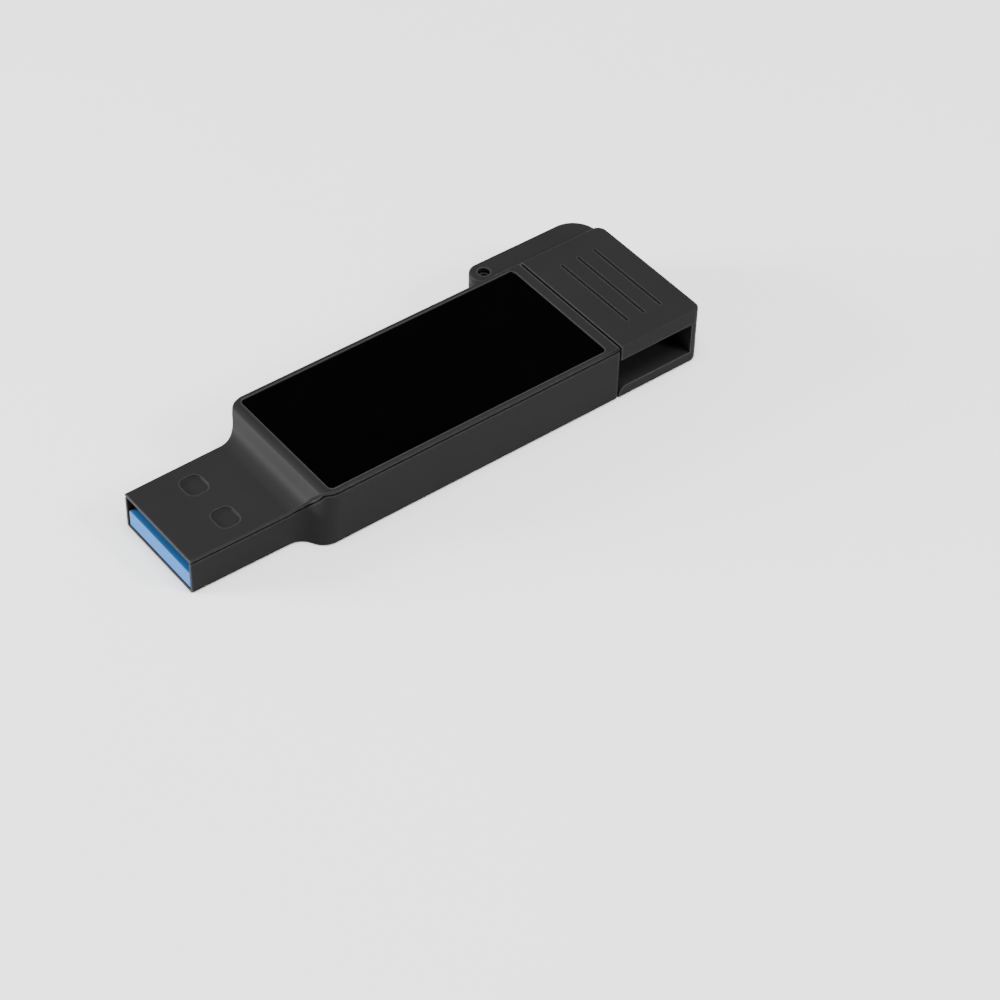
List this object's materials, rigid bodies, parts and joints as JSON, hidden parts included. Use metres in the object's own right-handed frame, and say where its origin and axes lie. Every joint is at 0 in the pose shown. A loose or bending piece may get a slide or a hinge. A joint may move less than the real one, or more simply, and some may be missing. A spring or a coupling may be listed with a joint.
{
  "type": "usb flash drive",
  "caption": "Slim black metal USB stick with a fixed USB-A plug, a glossy inset panel and a swing cap over a second plug.",
  "frame": {"origin": "on the flat rear face, on the drive's centreline, 32 mm behind the USB-A plug's nose", "axes": "+X from the USB-A nose to the cap, +Y towards the cap's hinge, +Z from the rear face to the glossy panel"},
  "size_m": [0.0634, 0.0209, 0.0071],
  "materials": {
    "black_paint": "satin black paint over cast metal",
    "gloss_panel": "polished black sheet",
    "blue_plastic": "moulded light blue plastic",
    "black_plastic": "moulded black plastic",
    "gold": "gold plated",
    "nickel": "nickel plated",
    "board_mask": "green solder mask",
    "ceramic": "ceramic body",
    "tape": "double-sided tape"
  },
  "bodies": {
    "housing": {"rear_housing": "black_paint", "front_cover": "black_paint", "inset_panel": "gloss_panel", "panel_tape": "tape", "usb_a_insulator": "blue_plastic", "usb_a_contact_1": "gold", "usb_a_contact_2": "gold", "usb_a_contact_3": "gold", "usb_a_contact_4": "gold", "usb_a_fast_contact_1": "gold", "usb_a_fast_contact_2": "gold", "usb_a_fast_contact_3": "gold", "usb_a_fast_contact_4": "gold", "usb_a_fast_contact_5": "gold", "circuit_board": "board_mask", "controller_chip": "black_plastic", "memory_chip": "black_plastic", "crystal": "nickel", "capacitor_1": "ceramic", "capacitor_2": "ceramic", "capacitor_3": "ceramic", "capacitor_4": "ceramic", "resistor_1": "black_plastic", "resistor_2": "black_plastic", "board_carrier": "black_plastic", "tail_bezel": "black_plastic", "usb_c_shell": "nickel", "usb_c_insulator": "black_plastic", "usb_c_upper_contact_1": "gold", "usb_c_upper_contact_2": "gold", "usb_c_upper_contact_3": "gold", "usb_c_upper_contact_4": "gold", "usb_c_upper_contact_5": "gold", "usb_c_upper_contact_6": "gold", "usb_c_upper_contact_7": "gold", "usb_c_upper_contact_8": "gold", "usb_c_upper_contact_9": "gold", "usb_c_upper_contact_10": "gold", "usb_c_upper_contact_11": "gold", "usb_c_upper_contact_12": "gold", "usb_c_lower_contact_1": "gold", "usb_c_lower_contact_2": "gold", "usb_c_lower_contact_3": "gold", "usb_c_lower_contact_4": "gold", "usb_c_lower_contact_5": "gold", "usb_c_lower_contact_6": "gold", "usb_c_lower_contact_7": "gold", "usb_c_lower_contact_8": "gold", "usb_c_lower_contact_9": "gold", "usb_c_lower_contact_10": "gold", "usb_c_lower_contact_11": "gold", "usb_c_lower_contact_12": "gold", "hinge_pin": "black_paint"},
    "cap": {"swing_cap": "black_paint"}
  },
  "joints": [
    {"name": "cap_swing", "type": "hinge", "parent": "housing", "child": "cap", "pos_m": [0.01675, 0.01055, 0.00358], "axis": [0, 0, 1], "range_deg": [0, 180]}
  ]
}
